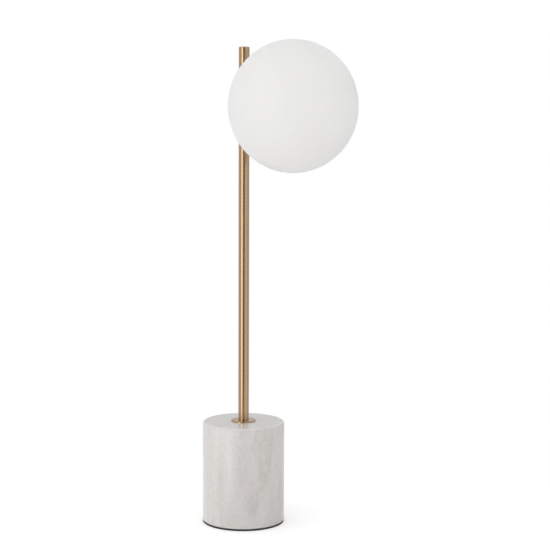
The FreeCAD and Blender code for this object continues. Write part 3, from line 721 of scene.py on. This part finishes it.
def globeProfile():
    form = globeForm
    low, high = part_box("glass_globe")
    neckLow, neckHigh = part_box("globe_neck")
    radius, front = (high.x - low.x) / 2, -low.y
    neckRadius, rim = (neckHigh.x - neckLow.x) / 2, -neckHigh.y
    halfDepth = radius - form["flattening"]
    middle = front - halfDepth

    def oval(inset, neck):
        # from the pole in front to the bend into the neck
        across, along = radius - inset, halfDepth - inset
        last = math.pi - math.asin((neck + form["bend"]) / across)
        angles = [last * k / form["ovalPoints"] for k in range(form["ovalPoints"] + 1)]
        arc = [(across * math.sin(angle), middle + along * math.cos(angle)) for angle in angles]
        corner = middle - along * math.sqrt(1 - (neck / across) ** 2)
        return arc[:-1] + softBend(arc[-1], (neck, corner), (neck, corner - form["bend"]))

    bore = neckRadius - form["neckWall"]
    rimMiddle, lip = (neckRadius + bore) / 2, form["neckWall"] / 2
    outside = oval(0, neckRadius)
    inside = oval(form["wall"], bore)
    rimOut = softBend((neckRadius, rim + lip), (neckRadius, rim), (rimMiddle, rim), form["rimPoints"])
    rimIn = softBend((rimMiddle, rim), (bore, rim), (bore, rim + lip), form["rimPoints"])
    return outside + rimOut + rimIn[1:] + inside[::-1]


opalGlobe = turnedPiece("opalGlobe", globeProfile(), globeForm["turnSteps"])
dress(opalGlobe, "globe", "opal_glass", finishes["opal_glass"], "glass_globe", "globe_neck")
print("globe blown")


# thumb screws: knurled heads with a driver slot, on cut threads

screwForm = {
    "headRadius": 0.0040,
    "headHeight": 0.0035,
    "threadRadius": 0.00195,
    "threadDepth": 0.00038,
    "pitch": 0.0007,
    "tooth": [(0, 0), (0.12, 0), (0.46, 1), (0.58, 1), (0.92, 0), (1, 0)],      # shares of pitch and depth
    "threadSteps": 40,
    "intoHead": 0.0004,         # the shank ends this far inside the head
    "knurls": 20,
    "knurlPoints": 4,
    "knurlDepth": 0.00035,
    "edge": 0.00035,            # chamfer round both ends of the head
    "crown": 0.00025,           # the head's middle stands out this far
    "crownSteps": [(0.7, 0.80), (0.3, 0.55)],       # share of the crown, and the ring's size against the last
    "slotWidth": 0.0008,
    "slotDepth": 0.0010,
    "angles": {"left": 150, "right": 30, "bottom": 270},
}


def makeHead(low, top):
    form = screwForm
    radius, edge, crown = form["headRadius"], form["edge"], form["crown"]
    height = top - low - 2 * edge - crown
    points = form["knurlPoints"] * form["knurls"]
    head = startPiece(
        "screwHead", "cylinder", vertices=points, radius=radius, depth=height,
        location=(0, 0, low + edge + height / 2),
    )
    bpy.ops.object.transform_apply(location=True, rotation=False, scale=False)
    bpy.ops.object.mode_set(mode="EDIT")

    def inGroove(corner):
        step = round(math.atan2(corner.co.y, corner.co.x) / math.tau * points)
        return step % form["knurlPoints"] == 0

    selectWhere(head, "verts", inGroove)
    shrink = 1 - form["knurlDepth"] / radius
    bpy.ops.transform.resize(value=(shrink, shrink, 1), center_override=(0, 0, 0))
    chamfer = [(edge, 1 - edge / radius)]
    dome = [(crown * share, size) for share, size in form["crownSteps"]]
    for end, rings in ((1, chamfer + dome), (-1, chamfer)):
        selectWhere(head, "faces", lambda face: face.normal.z * end > 0.9)
        for rise, size in rings:
            bpy.ops.mesh.extrude_region_move(TRANSFORM_OT_translate={"value": (0, 0, end * rise)})
            bpy.ops.transform.resize(value=(size, size, 1), center_override=(0, 0, 0))
    closeForm(head)

    slot = (4 * radius, form["slotWidth"], 2 * form["slotDepth"])
    cutOut(head, "cube", size=1, location=(0, 0, top), scale=slot)
    return head


def makeThumbScrew(shankEnd, top):
    form = screwForm
    low = top - form["headHeight"]
    depth, pitch = form["threadDepth"], form["pitch"]
    root = form["threadRadius"] - depth
    tooth = [(root + rise * depth, along * pitch) for along, rise in form["tooth"]]
    shank = threadedRod("thumbScrew", tooth, pitch, shankEnd, low + form["intoHead"], form["threadSteps"])
    head = makeHead(low, top)
    bpy.ops.object.select_all(action="DESELECT")
    head.select_set(True)
    shank.select_set(True)
    bpy.context.view_layer.objects.active = shank
    bpy.ops.object.join()
    return shank


screwLow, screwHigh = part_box("thumb_screw_bottom")
pattern = makeThumbScrew(armHeight - screwHigh.z, armHeight - screwLow.z)
for place, angle in screwForm["angles"].items():
    screw = pattern.copy()
    screw.data = pattern.data.copy()
    screw.name = screw.data.name = "thumbScrew" + place.capitalize()
    bpy.context.collection.objects.link(screw)
    screw.data.transform(outwards(angle, -(screwLow.y + screwHigh.y) / 2))
    dress(screw, "screw_" + place, "brass", armBrass, "thumb_screw_" + place)
bpy.data.objects.remove(pattern)
print("thumb screws cut")


# bulb: its rolled thread is a true helix

shellForm = {
    "threadRadius": 0.00695,
    "threadDepth": 0.00075,
    "pitch": 0.00282,
    "curvePoints": 14,
    "turnSteps": 72,
}


def makeShell():
    form = shellForm
    low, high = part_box("bulb_screw_shell")
    wave = []
    for step in range(form["curvePoints"] + 1):
        share = step / form["curvePoints"]
        dip = form["threadDepth"] * (0.5 + 0.5 * math.cos(math.tau * share))
        wave.append((form["threadRadius"] - dip, form["pitch"] * share))
    shell = threadedRod("bulbShell", wave, form["pitch"], -high.y, -low.y, form["turnSteps"])
    shell.data.transform(alongArm())
    return shell


dress(makeShell(), "bulb", "nickel", finishes["nickel"], "bulb_screw_shell")
print("bulb thread rolled")


# lamp holder's sleeve, with grip grooves round it

sleeveForm = {
    "wall": 0.0020,
    "backEdge": 0.0003,
    "lipThickness": 0.0020,
    "lipRadius": 0.00855,
    "lipPoints": 5,
    "grooves": 24,
    "groovePoints": 6,          # round the sleeve, for one groove and one ridge
    "grooveDepth": 0.0005,
    "grooveFrom": 0.18,         # shares of the sleeve's length
    "grooveTo": 0.80,
    "runOut": 0.0006,
    "nearly": 0.0001,           # corners are found within this distance
}


def makeSleeve():
    form = sleeveForm
    low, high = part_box("holder_sleeve")
    radius, back, front = (high.x - low.x) / 2, -high.y, -low.y
    bore, lip, lipRadius = radius - form["wall"], form["lipThickness"], form["lipRadius"]
    runOut, edge, nearly = form["runOut"], form["backEdge"], form["nearly"]
    grooveBack = back + (front - back) * form["grooveFrom"]
    grooveFront = back + (front - back) * form["grooveTo"]
    ends = [grooveBack, grooveBack + runOut, grooveFront - runOut, grooveFront]
    profile = [(bore, back), (radius - edge, back), (radius, back + edge)]
    profile += [(radius, reach) for reach in ends]
    half = lip / 2
    profile += softBend((radius, front - half), (radius, front), (radius - half, front), form["lipPoints"])
    profile += [(lipRadius, front), (lipRadius, front - lip), (bore, front - lip), (bore, back)]
    points = form["groovePoints"] * form["grooves"]
    sleeve = turnedPiece("holderSleeve", profile, points)
    bpy.ops.object.mode_set(mode="EDIT")

    def inGroove(corner):
        # outside, between the run-outs, and at most one step from the middle of a groove
        across, up = corner.co.x, corner.co.z - armHeight
        step = round(math.atan2(up, across) / math.tau * points)
        aside = min(step % form["groovePoints"], -step % form["groovePoints"])
        inLength = ends[1] - nearly < -corner.co.y < ends[2] + nearly
        return inLength and math.hypot(across, up) > radius - nearly and aside <= 1

    selectWhere(sleeve, "verts", inGroove)
    shrink = 1 - form["grooveDepth"] / radius
    bpy.ops.transform.resize(value=(shrink, 1, shrink), center_override=(0, 0, armHeight))
    return closeForm(sleeve)


dress(makeSleeve(), "stand", "black_plastic", finishes["black_plastic"], "holder_sleeve")
print("lamp holder's sleeve moulded")


# camera, where the photograph was taken from

cameraPlace = {
    "azimuth": -36.87,          # degrees, turned left from looking along +Y
    "distance": 1.837,          # level, from the stem
    "height": 0.5135,
    "aside": 0.03791,           # to the right of the stem
    "down": 6.47,               # degrees
    "roll": 0.2345,             # degrees
    "lens": 99.62,
    "sensor": 36.0,
}


def addCamera():
    place = cameraPlace
    turn = math.radians(place["azimuth"])
    right = Vector((math.cos(turn), math.sin(turn), 0))
    ahead = Vector((-math.sin(turn), math.cos(turn), 0))
    bpy.ops.object.camera_add(
        location=right * place["aside"] - ahead * place["distance"] + Vector((0, 0, place["height"])),
        rotation=(math.radians(90 - place["down"]), 0, turn),
    )
    camera = bpy.context.object
    camera.rotation_euler.rotate_axis("Z", math.radians(place["roll"]))
    camera.name = "photoCamera"
    camera.data.lens = place["lens"]
    camera.data.sensor_width = place["sensor"]
    bpy.context.scene.camera = camera


addCamera()
print("camera placed")


# studio: places are degrees left of the camera, seen from the lamp, and metres

studio = {
    "floorRadius": 0.62,
    "floorBelow": 0.0002,
    "floorFade": (0.26, 0.58),  # from here to there the floor turns into the white round it
    "floorWhite": 0.80,
    "floorGlow": 0.30,          # seen by the camera and in reflections only
    "ambient": 0.90,
    "lights": {                 # softboxes light the surfaces, and the strip is the bright line in the brass
        "baseSoftbox": {
            "left": 72, "distance": 0.60, "height": 0.07, "aimHeight": 0.06, "width": 0.30, "tall": 0.30,
            "spread": 75, "power": 0.20, "hiddenFrom": "glossy",
        },
        "frontSoftbox": {
            "left": 8, "distance": 2.6, "height": 0.28, "aimHeight": 0.40, "width": 1.30, "tall": 1.30,
            "spread": 180, "power": 12.2, "hiddenFrom": "glossy",
        },
        "keySoftbox": {
            "left": 50, "distance": 2.2, "height": 0.90, "aimHeight": 0.45, "width": 1.20, "tall": 1.20,
            "spread": 180, "power": 2.2, "hiddenFrom": "glossy",
        },
        "topSoftbox": {
            "left": 10, "distance": 0.5, "height": 2.40, "aimHeight": 0.30, "width": 1.60, "tall": 1.60,
            "spread": 180, "power": 0.35, "hiddenFrom": "glossy",
        },
        "stripLight": {
            "left": 40, "distance": 2.4, "height": 0.20, "aimHeight": 0.20, "width": 0.80, "tall": 3.2,
            "spread": 180, "power": 14.6, "hiddenFrom": "diffuse",
        },
    },
    "cards": {                  # seen only in reflections
        "frontCard": {"left": 0, "distance": 2.7, "width": 1.70, "grey": 0.15},
        "leftCard": {"left": 100, "distance": 2.9, "width": 4.60, "grey": 0.74},
        "rightCard": {"left": -118, "distance": 2.9, "width": 4.60, "grey": 0.70},
        "backCard": {"left": 180, "distance": 2.9, "width": 1.60, "grey": 0.70},
    },
    "cardHeight": 0.20,
    "cardTall": 3.4,
}


def aroundLamp(left, distance, height):
    turn = math.radians(cameraPlace["azimuth"] - left)
    return Vector((math.sin(turn) * distance, -math.cos(turn) * distance, height))


def faceTo(thing, target):
    thing.rotation_euler = (Vector(target) - thing.location).to_track_quat("-Z", "Y").to_euler()


def skipRays(thing, *kinds):
    for kind in kinds:
        setattr(thing, "visible_" + kind, False)


def clearedTree(owner):
    # owner is a material or the world
    owner.use_nodes = True
    owner.node_tree.nodes.clear()
    return owner.node_tree


def glow(tree, strength, kind="Emission"):
    return addNode(tree, kind, {"Color": (1, 1, 1, 1), "Strength": strength}).outputs[0]


def seenDirectly(tree):
    rays = addNode(tree, "LightPath", {})
    seen = calculated(tree, "MAXIMUM", rays.outputs["Is Camera Ray"], rays.outputs["Is Glossy Ray"])
    return calculated(tree, "MAXIMUM", seen, rays.outputs["Is Transmission Ray"])


def floorSurface():
    # matt white that keeps its shadow, with a glow where it is seen directly, and all white at its edge
    surface = bpy.data.materials.new("paleFloor")
    tree = clearedTree(surface)
    white = studio["floorWhite"]
    matt = addNode(tree, "BsdfDiffuse", {"Color": (white, white, white, 1)})
    both = addNode(tree, "AddShader", {0: matt.outputs[0], 1: glow(tree, studio["floorGlow"])})
    away = addNode(tree, "VectorMath", {0: placed(tree)}, operation="LENGTH").outputs["Value"]
    edge = addNode(tree, "MapRange", {
        "Value": away, "From Min": studio["floorFade"][0], "From Max": studio["floorFade"][1],
    }, interpolation_type="SMOOTHSTEP")
    faded = addNode(tree, "MixShader", {0: edge.outputs["Result"], 1: both.outputs[0], 2: glow(tree, 1.0)})
    chosen = addNode(tree, "MixShader", {0: seenDirectly(tree), 1: matt.outputs[0], 2: faded.outputs[0]})
    addNode(tree, "OutputMaterial", {"Surface": chosen.outputs[0]})
    return surface


def addFloor():
    bpy.ops.mesh.primitive_circle_add(
        vertices=128, radius=studio["floorRadius"], fill_type="NGON", location=(0, 0, -studio["floorBelow"])
    )
    floor = bpy.context.object
    floor.name = "studioFloor"
    setFinish(floor, floorSurface())


def addLight(name, look):
    place = aroundLamp(look["left"], look["distance"], look["height"])
    bpy.ops.object.light_add(type="AREA", location=place)
    light = bpy.context.object
    light.name = name
    light.data.shape = "RECTANGLE"
    light.data.size = look["width"]
    light.data.size_y = look["tall"]
    light.data.energy = look["power"]
    light.data.spread = math.radians(look["spread"])
    faceTo(light, (0, 0, look["aimHeight"]))
    skipRays(light, look["hiddenFrom"], "camera")


def addCard(name, look):
    place = aroundLamp(look["left"], look["distance"], studio["cardHeight"])
    bpy.ops.mesh.primitive_plane_add(size=1, location=place)
    card = bpy.context.object
    card.name = name
    card.scale = (look["width"], studio["cardTall"], 1)
    faceTo(card, (0, 0, studio["cardHeight"]))
    paint = bpy.data.materials.new(name + "Paint")
    tree = clearedTree(paint)
    addNode(tree, "OutputMaterial", {"Surface": glow(tree, look["grey"])})
    setFinish(card, paint)
    skipRays(card, "camera", "diffuse", "transmission", "shadow", "volume_scatter")


def addWorld():
    # seen directly it is white, and on the surfaces it shines a little less
    world = bpy.data.worlds.new("studioWorld")
    bpy.context.scene.world = world
    tree = clearedTree(world)
    soft, white = glow(tree, studio["ambient"], "Background"), glow(tree, 1.0, "Background")
    chosen = addNode(tree, "MixShader", {0: seenDirectly(tree), 1: soft, 2: white})
    addNode(tree, "OutputWorld", {"Surface": chosen.outputs[0]})


addFloor()
for name, look in studio["lights"].items():
    addLight(name, look)
for name, look in studio["cards"].items():
    addCard(name, look)
addWorld()
bpy.context.scene.view_settings.view_transform = "Standard"
print("studio lit")
